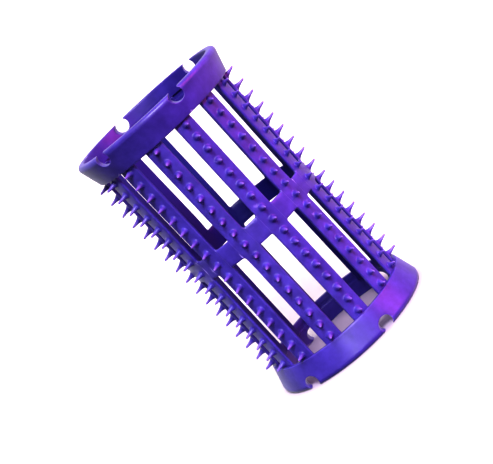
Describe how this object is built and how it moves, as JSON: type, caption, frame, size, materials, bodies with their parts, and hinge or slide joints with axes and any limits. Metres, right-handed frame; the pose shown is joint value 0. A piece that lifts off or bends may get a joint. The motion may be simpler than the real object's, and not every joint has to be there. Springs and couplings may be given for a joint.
{
  "type": "hair roller",
  "caption": "Open-cage hair roller: two flared, notched end rings joined by a centre band and a cage of straight bars with rows of short radial spines.",
  "frame": {"origin": "on the roller's axis, at the face of the lower rim, which it stands on", "axes": "+Z along the roller's axis towards the upper rim; -Y is the front, through the middle of spined_bar_01"},
  "size_m": [0.036, 0.0366, 0.062],
  "materials": {
    "violet_plastic": "satin-gloss moulded violet-blue plastic"
  },
  "bodies": {
    "root": {"end_ring_bottom": "violet_plastic", "end_ring_top": "violet_plastic", "centre_band": "violet_plastic", "spined_bar_01": "violet_plastic", "spined_bar_02": "violet_plastic", "spined_bar_03": "violet_plastic", "spined_bar_04": "violet_plastic", "spined_bar_05": "violet_plastic", "spined_bar_06": "violet_plastic", "spined_bar_07": "violet_plastic", "spined_bar_08": "violet_plastic", "spined_bar_09": "violet_plastic", "spined_bar_10": "violet_plastic", "spined_bar_11": "violet_plastic", "spined_bar_12": "violet_plastic", "spined_bar_13": "violet_plastic", "spined_bar_14": "violet_plastic"}
  },
  "joints": []
}
